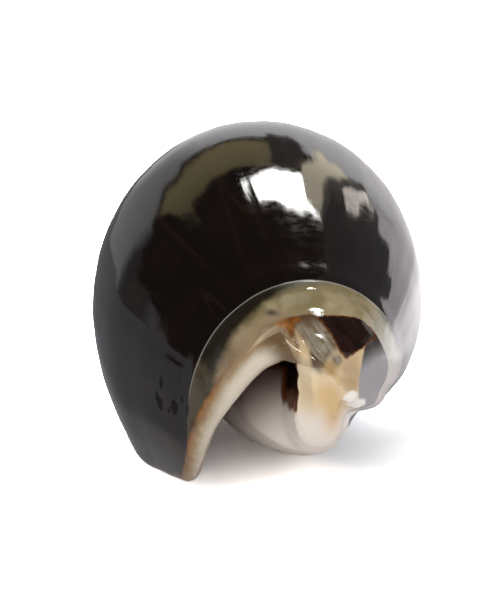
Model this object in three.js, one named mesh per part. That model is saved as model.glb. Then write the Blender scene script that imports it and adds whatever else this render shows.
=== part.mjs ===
// An olive shell, grown in one piece. Millimetres and degrees, +Z up.
//
// The shell is one coiled sheet. A profile runs along the coiling axis from the tip of the columella to
// the suture, and every point of it turns about the axis while it shrinks by the same share each whorl.
// A point of the sheet is given by its station on the profile and by its growth angle, which is 0 at the
// outer lip and falls going back in growth. The shell's own axis lies along +Y, with the front end at 0.

import * as THREE from 'three';
import { mergeVertices } from 'three/addons/utils/BufferGeometryUtils.js';

// Driving dimensions
const LENGTH = 42; // from the tip of the columella to the apex
const LIP_RADIUS = 11.3; // from the coiling axis to the last whorl at its widest, at the lip
const WHORL_GROWTH = 1.54; // how many times wider a whorl is than the one before
const LIP_ANGLE = 225; // where the outer lip stands round the axis, from +X towards +Z
const WALL = 1.15; // thickness of the last whorl's wall
const NOTCH_WALL = 0.35; // how much thicker it is round the notch
const SPIRE_TURNS = 4; // whorls that still show behind the last one
const APEX_DROP = 0.35; // how much the rounded apex stands back from the point of the coil

// The profile: distance from the front end, and radius as a share of LIP_RADIUS
const PROFILE = [
  [0.0, 0.0], // tip of the columella
  [0.2, 0.1],
  [0.8, 0.22],
  [1.8, 0.41], // inner border of the fasciole
  [3.6, 0.52], // raised line behind the fasciole
  [6.0, 0.6],
  [9.0, 0.7],
  [13.0, 0.82],
  [18.0, 0.94],
  [24.0, 1.0], // widest place
  [28.4, 0.965],
  [31.6, 0.87],
  [34.2, 0.7], // here the next whorl covers the shoulder
  [35.6, 0.61],
  [36.7, 0.54],
  [37.35, 0.5], // rim beside the suture
  [37.3, 0.47],
  [36.93, 0.4545], // floor of the sutural channel
];
const NOTCH_ROOT = 2.58; // station where the notch's edge meets the columella
const NOTCH_CORNER = 5.8; // station where the notch's edge turns into the straight lip
const SUTURE = 12; // station that the next whorl covers
const CHANNEL = PROFILE.length - 1; // last station, the floor of the sutural channel
const CANAL = 10.5; // station where the aperture starts to close towards the suture

// The flare of the outer lip: share of the radius, and how far it reaches
const LIP_FLARE = 0.177;
const FRONT_FLARE = 0.312; // more of it near the front
const FRONT_FLARE_REACH = 9;
const FLARE_ANGLE = 30;

// The siphonal notch, as the angle by which the sheet's edge stands back from the lip
const NOTCH_SLOPE = 46; // along the notch's side
const NOTCH_TURN = 53; // more of it close to the root
const SLOPE_POWER = 1.4;
const TURN_POWER = 12;
const NOTCH_DEPTH = NOTCH_SLOPE + NOTCH_TURN;
const ROOT_START = 1.1; // station where the step of the sheet on the columella's tip starts
const ROOT_TURN = 22; // how far round that step leans
const ROOT_SKEW = 13; // how much less the edge stands back on the inside of the wall at the root
const SKEW_REACH = 0.3; // stations behind the root over which that ends
const SOFT_REACH = 0.3; // stations before the root over which the rim's inner side gets a firm turn
const ROOT_GAP = 0.06; // stations over which the hollow opens behind the root
const RIM_TURN = [0.15, 0.8]; // stations behind the root over which the rim turns from the front to the side
const WALL_TURN = 0.6; // stations behind the root from where the wall's inside follows the sheet's normal

// The hollow inside the last whorl
const HOLLOW_DEPTH = 230; // how far back in growth it reaches from the lip

// The columella beside the hollow: share by which it stands back from the whorl, and where
const PILLAR_THIN = 0.54;
const PILLAR_DEEP = 0.24; // more of it behind the tip
const DEEP_START = [1.3, 2.4];
const PILLAR_REACH = [5.5, 10]; // distance along the shell over which the whorl before comes out again
const THIN_START = -40; // growth angle past a full turn where the columella starts to stand back
const THIN_FULL = 15;
const THIN_SHIFT = [4, 7]; // distance along the shell over which that place moves into the aperture
const THIN_LATER = 35;
const THIN_EASE = 0.5; // share of it that is given back towards the notch's root
const EASE_ANGLE = [55, 100];
const EASE_END = [3, 6];

// The columella's tip is a dome, with the middle of its loops moved to the right
const POLE_SHIFT = 0.9;
const DOME = 0.268;
const DOME_POWER = 1.55;
const DOME_END = 1.7;

// The belly, where enamel laid over the whorl before makes the shell fuller
const BELLY = 1.1;
const BELLY_PLACE = 14;
const BELLY_REACH = 14;
const BELLY_ANGLE = -310;
const BELLY_SPREAD = 50;

// The waist beside it, on the right of the columella
const WAIST = 1.3;
const WAIST_ANGLE = -275;
const WAIST_SPREAD = 21;
const WAIST_END = [12, 22];

// The folds of the columella fan out from the notch's root: angle of each from +X, height and half width
const FOLD_ROOT = new THREE.Vector2(-1.95, 3.2);
const FOLDS = [
  { angle: -70, height: 0.12, spread: 6 },
  { angle: -58, height: -0.06, spread: 5 },
  { angle: -47, height: 0.22, spread: 6 },
  { angle: -37, height: -0.16, spread: 4 },
  { angle: -24, height: 0.12, spread: 6 },
];
const FOLD_START = [1, 2.5]; // distance from the root over which they rise
const FOLD_END = [6, 11]; // distance along the shell over which they fade
const FOLD_HIDDEN = 30; // growth angle over which they fade inside the aperture
const FOLD_SEAM = [NOTCH_ROOT - 0.2, NOTCH_ROOT + 0.1]; // stations from where that holds
const TIP_GROWTH = -280; // the growth angle whose size the whole tip has

// How fine the faces are
const LOOPS = [
  // up to which station, how many loops, and how they crowd towards its start
  { end: NOTCH_ROOT, count: 9, crowding: 1 },
  { end: NOTCH_ROOT + ROOT_GAP, count: 1, crowding: 1 },
  { end: NOTCH_CORNER, count: 10, crowding: 1.5 },
  { end: SUTURE, count: 12, crowding: 1 },
];
const TURN_STEPS = 48;
const HOLLOW_STEPS = 26;
const EDGE_STEPS = 4;
const SPIRE_STRIPS = CHANNEL - SUTURE;
const NEARBY = 0.02; // stations between neighbours when a direction is worked out

// How the shell lies on its lip and its belly
const REST_ROLL = 5.8;

const spline = new THREE.SplineCurve(PROFILE.map(([s, share]) => new THREE.Vector2(s, share * LIP_RADIUS)));

const BORDER_RADIUS = PROFILE[3][1] * LIP_RADIUS;
const ROOT_RADIUS = spline.getPoint(NOTCH_ROOT / CHANNEL).y;

const smooth = (from, to, value) => THREE.MathUtils.smoothstep(value, from, to);
const bell = (value, middle, spread) => Math.exp(-(((value - middle) / spread) ** 2));
const growth = (phi) => WHORL_GROWTH ** (phi / 360);

// How much a station moves back towards the apex as it shrinks: not at the front, fully at the suture
function climb(along) {
  const start = PROFILE[6][0];
  return THREE.MathUtils.clamp((along - start) / (PROFILE[SUTURE][0] - start), 0, 1) ** 2;
}

function flare(along, phi) {
  const share = LIP_FLARE + FRONT_FLARE * bell(along, 0, FRONT_FLARE_REACH);
  return 1 + share * (1 - climb(along)) * Math.exp(phi / FLARE_ANGLE);
}

// Enamel on the belly makes the shell fuller, and the waist beside it makes it slimmer
function fullness(place, phi) {
  const belly = BELLY * bell(place.x, BELLY_PLACE, BELLY_REACH) * bell(phi, BELLY_ANGLE, BELLY_SPREAD);
  const waist = WAIST * bell(phi, WAIST_ANGLE, WAIST_SPREAD) * (1 - smooth(...WAIST_END, place.x));
  return (belly * (1 - climb(place.x)) - waist) * smooth(0, BORDER_RADIUS, place.y);
}

// Share by which the columella stands back from the whorl's radius on the side of the aperture
function thinning(station, phi, along) {
  const turned = -360 - phi;
  const deep = PILLAR_DEEP * smooth(...DEEP_START, along);
  const tip = PILLAR_THIN * smooth(0, NOTCH_ROOT, station);
  const strength = (tip + deep) * (1 - smooth(...PILLAR_REACH, along));
  const later = smooth(...THIN_SHIFT, along);
  const around = smooth(THIN_START * (1 - later), THIN_FULL + THIN_LATER * later, turned);
  const eased = THIN_EASE * smooth(...EASE_ANGLE, turned) * (1 - smooth(...EASE_END, along));
  return strength * around * (1 - eased);
}

// Height of the columella's folds at a place of the front
function foldHeight(x, z, along) {
  const away = new THREE.Vector2(x, z).sub(FOLD_ROOT);
  const angle = THREE.MathUtils.radToDeg(Math.atan2(away.y, away.x));
  const heights = FOLDS.map((fold) => fold.height * bell(angle, fold.angle, fold.spread));
  const total = heights.reduce((sum, height) => sum + height, 0);
  return total * smooth(...FOLD_START, away.length()) * (1 - smooth(...FOLD_END, along));
}

// Radius of the outer face at a station. On the tip the growth is evened out to one middle value.
function outerRadius(station, phi, place) {
  const coiled = smooth(ROOT_START, NOTCH_ROOT, station);
  const grown = growth(THREE.MathUtils.lerp(TIP_GROWTH, phi, coiled));
  return place.y * grown * flare(place.x, phi) * (1 - thinning(station, phi, place.x)) + fullness(place, phi);
}

// A point of the outer face of the last whorl, with the columella's tip and its folds
function whorlPoint(station, phi) {
  const place = spline.getPoint(station / CHANNEL);
  const radius = outerRadius(station, phi, place);
  const angle = THREE.MathUtils.degToRad(LIP_ANGLE + phi);
  const shift = POLE_SHIFT * (1 - Math.min(1, place.y / ROOT_RADIUS));
  const [x, z] = [radius * Math.cos(angle) + shift, radius * Math.sin(angle)];
  const grown = place.x + (LENGTH - place.x) * (1 - growth(phi)) * climb(place.x);
  const dome = DOME * Math.hypot(x, z) ** DOME_POWER;
  const along = THREE.MathUtils.lerp(dome, grown, smooth(DOME_END, NOTCH_ROOT, station));
  const hidden = smooth(0, FOLD_HIDDEN, -360 - phi) * smooth(...FOLD_SEAM, station);
  const height = foldHeight(x, z, along) * (1 - hidden);
  const sideways = height * smooth(0, BORDER_RADIUS, radius);
  const forwards = height - sideways;
  return new THREE.Vector3(x + sideways * Math.cos(angle), along - forwards, z + sideways * Math.sin(angle));
}

// A point of the spire, where a whorl keeps its shape and climbs towards the apex as it shrinks
function spirePlace(station, phi) {
  const place = spline.getPoint(station / CHANNEL);
  const radius = place.y * growth(phi);
  const angle = THREE.MathUtils.degToRad(LIP_ANGLE + phi);
  const along = place.x + (LENGTH - place.x) * (1 - growth(phi));
  return new THREE.Vector3(radius * Math.cos(angle), along, radius * Math.sin(angle));
}

function outerPoint(station, phi) {
  return station >= SUTURE ? spirePlace(station, phi) : whorlPoint(station, phi);
}

function outwardNormal(station, phi) {
  const alongSheet = outerPoint(station + NEARBY, phi).sub(outerPoint(Math.max(station - NEARBY, 0), phi));
  const inGrowth = outerPoint(station, phi + 1).sub(outerPoint(station, phi - 1));
  return alongSheet.cross(inGrowth).normalize();
}

function innerDirection(station, phi) {
  const angle = THREE.MathUtils.degToRad(LIP_ANGLE + phi);
  const outwards = new THREE.Vector3(Math.cos(angle), 0, Math.sin(angle));
  const bent = smooth(NOTCH_ROOT + WALL_TURN, NOTCH_CORNER, station);
  return outwards.lerp(outwardNormal(station, phi), bent).normalize();
}

// The inside of the wall. At the notch's root and towards the suture it closes on the whorl before.
function innerPoint(station, phi) {
  const root = 1 - smooth(NOTCH_ROOT, NOTCH_ROOT + ROOT_GAP, station);
  const close = Math.max(root, smooth(CANAL, SUTURE, station));
  const before = outerPoint(station, phi - 360);
  if (close === 1) return before;
  const wall = WALL + NOTCH_WALL * (1 - smooth(NOTCH_ROOT, NOTCH_CORNER, station));
  const inside = outerPoint(station, phi).addScaledVector(innerDirection(station, phi), -wall);
  return inside.lerp(before, close);
}

// Growth angle of the sheet's free edge: the notch in front, then the straight lip
function edgeAngle(station) {
  const into = THREE.MathUtils.clamp((NOTCH_CORNER - station) / (NOTCH_CORNER - NOTCH_ROOT), 0, 1);
  const beyond = smooth(0, 1, (NOTCH_ROOT - station) / (NOTCH_ROOT - ROOT_START));
  return -(NOTCH_SLOPE * into ** SLOPE_POWER + NOTCH_TURN * into ** TURN_POWER) - ROOT_TURN * beyond;
}

// The same on the inside of the wall, where the rim leans over as it meets the columella
function innerEdgeAngle(station) {
  const before = smooth(ROOT_START, NOTCH_ROOT, station);
  const behind = smooth(NOTCH_ROOT, NOTCH_ROOT + SKEW_REACH, station);
  return edgeAngle(station) + ROOT_SKEW * before * (1 - behind);
}

function hollowDepth(station) {
  const opening = smooth(NOTCH_ROOT, NOTCH_CORNER + 0.5, station);
  const closing = 1 - smooth(CANAL, SUTURE, station);
  const front = station < NOTCH_ROOT ? -innerEdgeAngle(station) : NOTCH_DEPTH - ROOT_SKEW;
  return THREE.MathUtils.lerp(front, HOLLOW_DEPTH, opening) * closing;
}

// 0 where the rim faces the front at the notch's root, 1 where it faces away from the growth
const rimSide = (station) => smooth(NOTCH_ROOT + RIM_TURN[0], NOTCH_ROOT + RIM_TURN[1], station);

// The way that the rim bulges: forwards at the notch, and away from the growth behind it
function rimDirection(station, across) {
  const edgeAt = (at) => outerPoint(at, edgeAngle(at));
  const edge = edgeAt(station + NEARBY).sub(edgeAt(Math.max(station - NEARBY, 0)));
  const free = across.clone().cross(edge).normalize();
  const here = edgeAt(station);
  const inGrowth = here.sub(outerPoint(station, edgeAngle(station) - 1));
  free.multiplyScalar(Math.sign(free.dot(inGrowth)));
  const side = rimSide(station);
  return new THREE.Vector3(0, -1, 0).lerp(free, side).normalize();
}

// The rounded free edge between the inside and the outside of the wall
function lipEdge(station, share) {
  const outside = outerPoint(station, edgeAngle(station));
  const inside = innerPoint(station, innerEdgeAngle(station));
  const across = outside.clone().sub(inside);
  const turn = Math.PI * share;
  const point = inside.lerp(outside, (1 - Math.cos(turn)) / 2);
  if (station <= ROOT_START) return point;
  const bulge = (Math.min(across.length(), WALL) / 2) * smooth(ROOT_START, NOTCH_ROOT, station);
  const side = rimSide(station);
  const inwards = 1 - smooth(NOTCH_ROOT - SOFT_REACH, NOTCH_ROOT, station);
  const softer = share > 0.5 ? 1 - side : inwards;
  return point.addScaledVector(rimDirection(station, across), bulge * Math.sin(turn) ** (1 + softer));
}

// The round inner end of the hollow, from the columella to the inside of the wall
function hollowEnd(station, share) {
  const depth = hollowDepth(station);
  const low = outerPoint(station, -360 - depth);
  const high = innerPoint(station, -depth);
  const gap = high.distanceTo(low);
  const turn = Math.PI * share;
  const point = low.clone().lerp(high, (1 - Math.cos(turn)) / 2);
  const angle = THREE.MathUtils.degToRad(LIP_ANGLE - depth);
  const back = new THREE.Vector3(Math.sin(angle), 0, -Math.cos(angle));
  return point.addScaledVector(back, (Math.sin(turn) * gap) / 3);
}

// One closed loop of the shell at one station: outside, columella, end of the hollow, inside, lip edge
function loopAt(station) {
  const [edge, innerEdge, depth] = [edgeAngle(station), innerEdgeAngle(station), hollowDepth(station)];
  const points = [];
  for (let i = 0; i <= TURN_STEPS; i += 1) {
    points.push(outerPoint(station, THREE.MathUtils.lerp(edge, -360, i / TURN_STEPS)));
  }
  for (let i = 1; i <= HOLLOW_STEPS; i += 1) {
    points.push(outerPoint(station, -360 - (depth * i) / HOLLOW_STEPS));
  }
  for (let i = 1; i < EDGE_STEPS; i += 1) points.push(hollowEnd(station, i / EDGE_STEPS));
  for (let i = 0; i <= HOLLOW_STEPS; i += 1) {
    points.push(innerPoint(station, THREE.MathUtils.lerp(-depth, innerEdge, i / HOLLOW_STEPS)));
  }
  for (let i = 1; i < EDGE_STEPS; i += 1) points.push(lipEdge(station, i / EDGE_STEPS));
  return station === 0 ? points.map(() => points[0].clone()) : points;
}

function loopStations() {
  const stations = [0];
  for (const { end, count, crowding } of LOOPS) {
    const start = stations[stations.length - 1];
    for (let i = 1; i <= count; i += 1) stations.push(start + (end - start) * (i / count) ** crowding);
  }
  return stations;
}

function shellGeometry() {
  const positions = [];
  const faces = [];
  const add = (point) => positions.push(point.x, point.y, point.z) / 3 - 1;
  const quad = (a, b, c, d) => faces.push(a, b, c, a, c, d);

  // the last whorl, loop by loop
  const loops = loopStations().map((station) => loopAt(station).map(add));
  for (let index = 0; index + 1 < loops.length; index += 1) {
    const [front, back] = [loops[index], loops[index + 1]];
    for (let i = 0; i < front.length; i += 1) {
      const next = (i + 1) % front.length;
      quad(front[i], front[next], back[next], back[i]);
    }
  }

  // the spire: strips that wind from the last shoulder to the apex
  const apex = new THREE.Vector3(0, LENGTH - APEX_DROP, 0);
  const last = SPIRE_TURNS * TURN_STEPS;
  const spirePoint = (step, strip) => {
    const glued = strip === SPIRE_STRIPS;
    const turned = glued ? step + TURN_STEPS : step;
    if (turned > last && (glued || strip === 0)) return apex;
    return outerPoint(SUTURE + (glued ? 0 : strip), (-360 * turned) / TURN_STEPS);
  };
  for (let step = 0; step < last; step += 1) {
    for (let strip = 0; strip < SPIRE_STRIPS; strip += 1) {
      const corners = [[step, strip], [step + 1, strip], [step + 1, strip + 1], [step, strip + 1]];
      quad(...corners.map(([a, b]) => add(spirePoint(a, b))));
    }
  }

  // the back end of the lip, and the end of the smallest whorl, each closed with a fan
  const fan = (hub, rim) => {
    for (let i = 0; i + 1 < rim.length; i += 1) faces.push(hub, rim[i], rim[i + 1]);
  };
  const acrossStrips = (step) =>
    Array.from({ length: SPIRE_STRIPS }, (_, strip) => add(spirePoint(step, strip)));
  const lipEnd = loops[loops.length - 1].slice(-EDGE_STEPS + 1);
  fan(add(spirePoint(0, SPIRE_STRIPS)), [...lipEnd, ...acrossStrips(0)]);
  fan(add(apex), acrossStrips(last).reverse());
  return closed(positions, faces);
}

// Joins equal corners and leaves out the faces that they close up
function closed(positions, faces) {
  const loose = new THREE.BufferGeometry();
  loose.setAttribute('position', new THREE.Float32BufferAttribute(positions, 3));
  loose.setIndex(faces);
  const merged = mergeVertices(loose, 1e-3);
  const index = merged.getIndex().array;
  const kept = [];
  for (let i = 0; i < index.length; i += 3) {
    const [a, b, c] = index.slice(i, i + 3);
    if (a !== b && b !== c && c !== a) kept.push(a, b, c);
  }
  merged.setIndex(kept);
  merged.computeVertexNormals();
  return merged;
}

const shell = new THREE.Mesh(
  shellGeometry(),
  new THREE.MeshStandardMaterial({ color: 0x1c1614, roughness: 0.25, metalness: 0 }),
);
shell.name = 'shell';
shell.rotation.y = THREE.MathUtils.degToRad(REST_ROLL);

// The origin is under the middle of the shell, on the surface that it lies on
const box = new THREE.Box3().setFromObject(shell, true);
const middle = box.getCenter(new THREE.Vector3());
shell.position.set(-middle.x, -middle.y, -box.min.z);

const olive = new THREE.Group();
olive.add(shell);

export default olive;
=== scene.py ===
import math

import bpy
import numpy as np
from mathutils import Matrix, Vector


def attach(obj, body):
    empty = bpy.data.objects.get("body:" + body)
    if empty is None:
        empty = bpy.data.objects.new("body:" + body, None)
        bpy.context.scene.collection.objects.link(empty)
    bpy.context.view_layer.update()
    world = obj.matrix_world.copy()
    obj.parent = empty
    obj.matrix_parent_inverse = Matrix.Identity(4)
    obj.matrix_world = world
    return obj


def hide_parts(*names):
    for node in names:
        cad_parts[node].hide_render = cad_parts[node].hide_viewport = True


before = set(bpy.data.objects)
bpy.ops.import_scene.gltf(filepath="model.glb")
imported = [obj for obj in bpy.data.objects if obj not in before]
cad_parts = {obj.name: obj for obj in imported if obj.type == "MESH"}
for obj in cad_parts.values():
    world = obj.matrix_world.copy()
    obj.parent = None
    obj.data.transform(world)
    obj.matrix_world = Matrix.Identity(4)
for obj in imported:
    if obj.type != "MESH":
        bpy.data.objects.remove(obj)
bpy.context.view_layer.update()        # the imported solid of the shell, its record and its body

# %% [markdown]
# # An olive shell on a white table
# An olive shell is one long glossy sheet that the animal wound round an axis and polished with its
# mantle. This lesson builds that sheet from its growth rule, gives it masks for the places where the
# finish changes, and then makes the finish, the table, the light and the camera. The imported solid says
# where the shell lies and how big it is, so the fine shell is made to the same numbers in its place.

MM = 0.001

# %% [markdown]
# ## The growth rule
# A snail's shell keeps its shape as it grows: every whorl is the one before, turned and made bigger by
# the same share. So a point needs two numbers only. The station says where it is on the profile that
# runs from the columella's tip to the suture, and the growth angle says how far back in growth it is
# from the outer lip. Sculpting would be free but uneven, and a lathe would lose the spiral. Geometry
# Nodes could follow the rule too, but the colours need the same numbers again at every point, so the
# surface is worked out with numpy and one piece of code gives both.

# %% Driving sizes, in millimetres and degrees
LENGTH = 42.0
LIP_RADIUS = 11.3
WHORL_GROWTH = 1.54
LIP_ANGLE = 225.0
WALL = 1.15
NOTCH_WALL = 0.35
SPIRE_TURNS = 4
REST_ROLL = 5.8

PROFILE = np.array([
    [0.0, 0.0], [0.2, 0.1], [0.8, 0.22], [1.8, 0.41], [3.6, 0.52], [6.0, 0.6], [9.0, 0.7], [13.0, 0.82],
    [18.0, 0.94], [24.0, 1.0], [28.4, 0.965], [31.6, 0.87], [34.2, 0.7], [35.6, 0.61], [36.7, 0.54],
    [37.35, 0.5], [37.3, 0.47], [36.93, 0.4545],
])
LINE, SUTURE, CHANNEL = 4, 12, len(PROFILE) - 1
NOTCH_ROOT, NOTCH_CORNER, CANAL = 2.58, 5.8, 10.5
LIP_FLARE, FRONT_FLARE, FRONT_FLARE_REACH, FLARE_ANGLE = 0.177, 0.312, 9.0, 30.0
NOTCH_SLOPE, NOTCH_TURN, ROOT_TURN, ROOT_START, ROOT_SKEW = 46.0, 53.0, 22.0, 1.1, 13.0
NOTCH_DEPTH = NOTCH_SLOPE + NOTCH_TURN
HOLLOW_DEPTH = 230.0
PILLAR_THIN, PILLAR_DEEP, PILLAR_REACH, POLE_SHIFT = 0.54, 0.24, (5.5, 10.0), 0.9
THIN_START, THIN_FULL, THIN_SHIFT, THIN_EASE = -40.0, 15.0, (4.0, 7.0), 0.5
DOME, DOME_POWER, DOME_END = 0.268, 1.55, 1.7
BELLY, BELLY_PLACE, BELLY_REACH, BELLY_ANGLE, BELLY_SPREAD = 1.1, 14.0, 14.0, -310.0, 50.0
WAIST, WAIST_ANGLE, WAIST_SPREAD, WAIST_END = 1.3, -275.0, 21.0, (12.0, 22.0)
FOLD_ROOT = (-1.95, 3.2)
FOLDS = [(-70, 0.12, 6), (-58, -0.06, 5), (-47, 0.22, 6), (-37, -0.16, 4), (-24, 0.12, 6)]
FOLD_START, FOLD_END = (1.0, 2.5), (6.0, 11.0)
CORE_ANGLE, PILLAR_START, THIN_FULL_LATER = -280, (1.3, 2.4), 35
THIN_EASE_ANGLES, THIN_EASE_END, NEIGHBOUR = (55, 100), (3, 6), 0.02
BORDER_RADIUS = PROFILE[3, 1] * LIP_RADIUS
print("lip's radius, mm:", LIP_RADIUS, "profile points:", len(PROFILE))


# %% The profile and how it grows
def smooth(low, high, value):
    """A soft step from 0 to 1 while the value goes from low to high."""
    t = np.clip((value - low) / (high - low), 0, 1)
    return t * t * (3 - 2 * t)


def profile_at(station):
    """Distance along the axis and radius at a station, on a smooth curve through the profile."""
    last = len(PROFILE) - 1
    cell = np.clip(np.floor(station).astype(int), 0, last - 1)
    t = (station - cell)[..., None]
    before, here = PROFILE[np.maximum(cell - 1, 0)], PROFILE[cell]
    after, beyond = PROFILE[cell + 1], PROFILE[np.minimum(cell + 2, last)]
    start, end = (after - before) / 2, (beyond - here) / 2
    curve = (2 * here - 2 * after + start + end) * t ** 3
    curve += (3 * after - 3 * here - 2 * start - end) * t ** 2 + start * t + here
    return curve[..., 0], curve[..., 1] * LIP_RADIUS


ROOT_RADIUS = profile_at(np.array(NOTCH_ROOT))[1]


def growth(phi):
    """Size of the shell at a growth angle, as a share of its size at the lip."""
    return WHORL_GROWTH ** (phi / 360)


def climb(along):
    """Share of the rise of the spire, which starts behind the front end."""
    start = PROFILE[6, 0]
    return np.clip((along - start) / (PROFILE[SUTURE, 0] - start), 0, 1) ** 2


# %% The outer face, with the lip's flare, the belly's enamel and the folds
def fold_height(x, z, along):
    """Height of the ridges that fan out from one point of the columella's end."""
    dx, dz = x - FOLD_ROOT[0], z - FOLD_ROOT[1]
    angle = np.degrees(np.arctan2(dz, dx))
    total = sum(height * np.exp(-((angle - at) / spread) ** 2) for at, height, spread in FOLDS)
    return total * smooth(*FOLD_START, np.hypot(dx, dz)) * (1 - smooth(*FOLD_END, along))


def pillar_thinning(station, phi, along):
    """Share by which the columella stands back from the whorl's radius on the side of the aperture."""
    strength = PILLAR_THIN * smooth(0, NOTCH_ROOT, station) + PILLAR_DEEP * smooth(*PILLAR_START, along)
    strength = strength * (1 - smooth(*PILLAR_REACH, along))
    later = smooth(*THIN_SHIFT, along)
    start, full = THIN_START * (1 - later), THIN_FULL + THIN_FULL_LATER * later
    t = np.clip((-360 - phi - start) / (full - start), 0, 1)
    eased = 1 - THIN_EASE * smooth(*THIN_EASE_ANGLES, -360 - phi) * (1 - smooth(*THIN_EASE_END, along))
    return strength * t * t * (3 - 2 * t) * eased


def outer_point(station, phi):
    """Point of the outer face, with everything that bends it away from a plain spiral."""
    along, radius = profile_at(station)
    rise = np.where(station >= SUTURE, 1.0, climb(along))
    flare = LIP_FLARE + FRONT_FLARE * np.exp(-(along / FRONT_FLARE_REACH) ** 2)
    flare = 1 + flare * (1 - rise) * np.exp(phi / FLARE_ANGLE)
    down = ((along - BELLY_PLACE) / BELLY_REACH) ** 2
    around = ((phi - BELLY_ANGLE) / BELLY_SPREAD) ** 2
    waist = WAIST * np.exp(-((phi - WAIST_ANGLE) / WAIST_SPREAD) ** 2) * (1 - smooth(*WAIST_END, along))
    belly = (BELLY * np.exp(-down - around) * (1 - rise) - waist) * smooth(0, BORDER_RADIUS, radius)
    coiled = smooth(ROOT_START, NOTCH_ROOT, station)
    grown = growth(phi * coiled + CORE_ANGLE * (1 - coiled))
    r = radius * grown * flare * (1 - pillar_thinning(station, phi, along)) + belly
    y = along + (LENGTH - along) * (1 - growth(phi)) * rise
    angle = np.radians(LIP_ANGLE + phi)
    shift = POLE_SHIFT * (1 - np.minimum(1, radius / ROOT_RADIUS))
    x, z = r * np.cos(angle) + shift, r * np.sin(angle)
    inside = smooth(0, 30, -360 - phi) * smooth(NOTCH_ROOT - 0.2, NOTCH_ROOT + 0.1, station)
    dome = DOME * np.hypot(x, z) ** DOME_POWER
    y = y + (dome - y) * (1 - smooth(DOME_END, NOTCH_ROOT, station))
    height = fold_height(x, z, y) * (1 - inside)
    sideways = height * smooth(0, BORDER_RADIUS, r)
    return np.stack([x + sideways * np.cos(angle), y - height + sideways, z + sideways * np.sin(angle)], -1)


def outward(station, phi):
    """Direction away from the outer face, from two small steps along it."""
    step = NEIGHBOUR
    along_sheet = outer_point(station + step, phi) - outer_point(np.maximum(station - step, 0), phi)
    in_growth = outer_point(station, phi + 1) - outer_point(station, phi - 1)
    normal = np.cross(along_sheet, in_growth)
    return normal / np.maximum(np.linalg.norm(normal, axis=-1, keepdims=True), 1e-9)


# %% [markdown]
# ## The hollow and the free edge
# The last whorl is a wall with a hollow behind it, and its free edge is the lip and the siphonal notch.
# Cutting the hollow out with a boolean would leave a sharp edge with no clean bands of faces. Instead
# one closed loop of points goes round the shell at each station: over the outside, over the whorl
# before, round the hollow's inner end, back under the wall and round the rounded edge.

# %% The wall and its inner face
def wall_at(station):
    """Thickness of the wall: stouter round the notch."""
    return WALL + NOTCH_WALL * (1 - smooth(NOTCH_ROOT, NOTCH_CORNER, station))


def inner_point(station, phi):
    """Point of the wall's inner face, which closes on the whorl before at both ends."""
    outside = outer_point(station, phi)
    angle = np.radians(LIP_ANGLE + phi)
    outwards = np.stack([np.cos(angle), 0 * angle, np.sin(angle)], -1)
    bent = smooth(NOTCH_ROOT + 0.6, NOTCH_CORNER, station)[..., None]
    direction = outwards * (1 - bent) + outward(station, phi) * bent
    direction /= np.linalg.norm(direction, axis=-1, keepdims=True)
    inside = outside - direction * wall_at(station)[..., None]
    root = 1 - smooth(NOTCH_ROOT, NOTCH_ROOT + 0.06, station)
    close = np.maximum(root, smooth(CANAL, SUTURE, station))[..., None]
    return inside * (1 - close) + outer_point(station, phi - 360) * close


# %% Where the edge lies in growth, and how far the hollow goes back
def edge_angle(station):
    """Growth angle of the free edge: 0 along the lip, further back round the notch."""
    into = np.clip((NOTCH_CORNER - station) / (NOTCH_CORNER - NOTCH_ROOT), 0, 1)
    beyond = smooth(0, 1, (NOTCH_ROOT - station) / (NOTCH_ROOT - ROOT_START))
    return -(NOTCH_SLOPE * into ** 1.4 + NOTCH_TURN * into ** 12) - ROOT_TURN * beyond


def inner_edge_angle(station):
    """The edge's angle on the inside of the wall: the rim leans over where it meets the columella."""
    near = smooth(ROOT_START, NOTCH_ROOT, station) * (1 - smooth(NOTCH_ROOT, NOTCH_ROOT + 0.3, station))
    return edge_angle(station) + ROOT_SKEW * near


def hollow_depth(station):
    """Growth angle by which the hollow reaches back behind the lip."""
    opening = smooth(NOTCH_ROOT, NOTCH_CORNER + 0.5, station)
    closing = 1 - smooth(CANAL, SUTURE, station)
    front = np.where(station < NOTCH_ROOT, -inner_edge_angle(station), NOTCH_DEPTH - ROOT_SKEW)
    return (front + (HOLLOW_DEPTH - front) * opening) * closing


# %% Round the free edge and round the hollow's inner end
def lip_edge(station, turn):
    """Point of the rounded free edge, with turn going from the outside over the edge to the inside."""
    outside = outer_point(station, edge_angle(station))
    inside = inner_point(station, inner_edge_angle(station))
    across = outside - inside
    step = NEIGHBOUR
    before = np.maximum(station - step, 0)
    edge = outer_point(station + step, edge_angle(station + step)) - outer_point(before, edge_angle(before))
    free = np.cross(across, edge)
    free /= np.maximum(np.linalg.norm(free, axis=-1, keepdims=True), 1e-9)
    in_growth = outside - outer_point(station, edge_angle(station) - 1)
    free *= np.sign((free * in_growth).sum(-1, keepdims=True))
    side = smooth(NOTCH_ROOT + 0.15, NOTCH_ROOT + 0.8, station)[..., None]
    free = free * side + np.array([0, -1, 0]) * (1 - side)
    free /= np.linalg.norm(free, axis=-1, keepdims=True)
    bulge = np.minimum(np.linalg.norm(across, axis=-1, keepdims=True), WALL) / 2
    bulge = bulge * smooth(ROOT_START, NOTCH_ROOT, station)[..., None]
    turn = np.asarray(turn)[..., None]
    rounded = np.sin(turn)
    soft_out = (1 - side) * (turn > math.pi / 2)
    soft_in = (1 - smooth(NOTCH_ROOT - 0.3, NOTCH_ROOT, station))[..., None] * (turn <= math.pi / 2)
    rounded = rounded ** (1 + soft_out + soft_in)
    return (outside + inside) / 2 - across * np.cos(turn) / 2 + free * bulge * rounded


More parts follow.
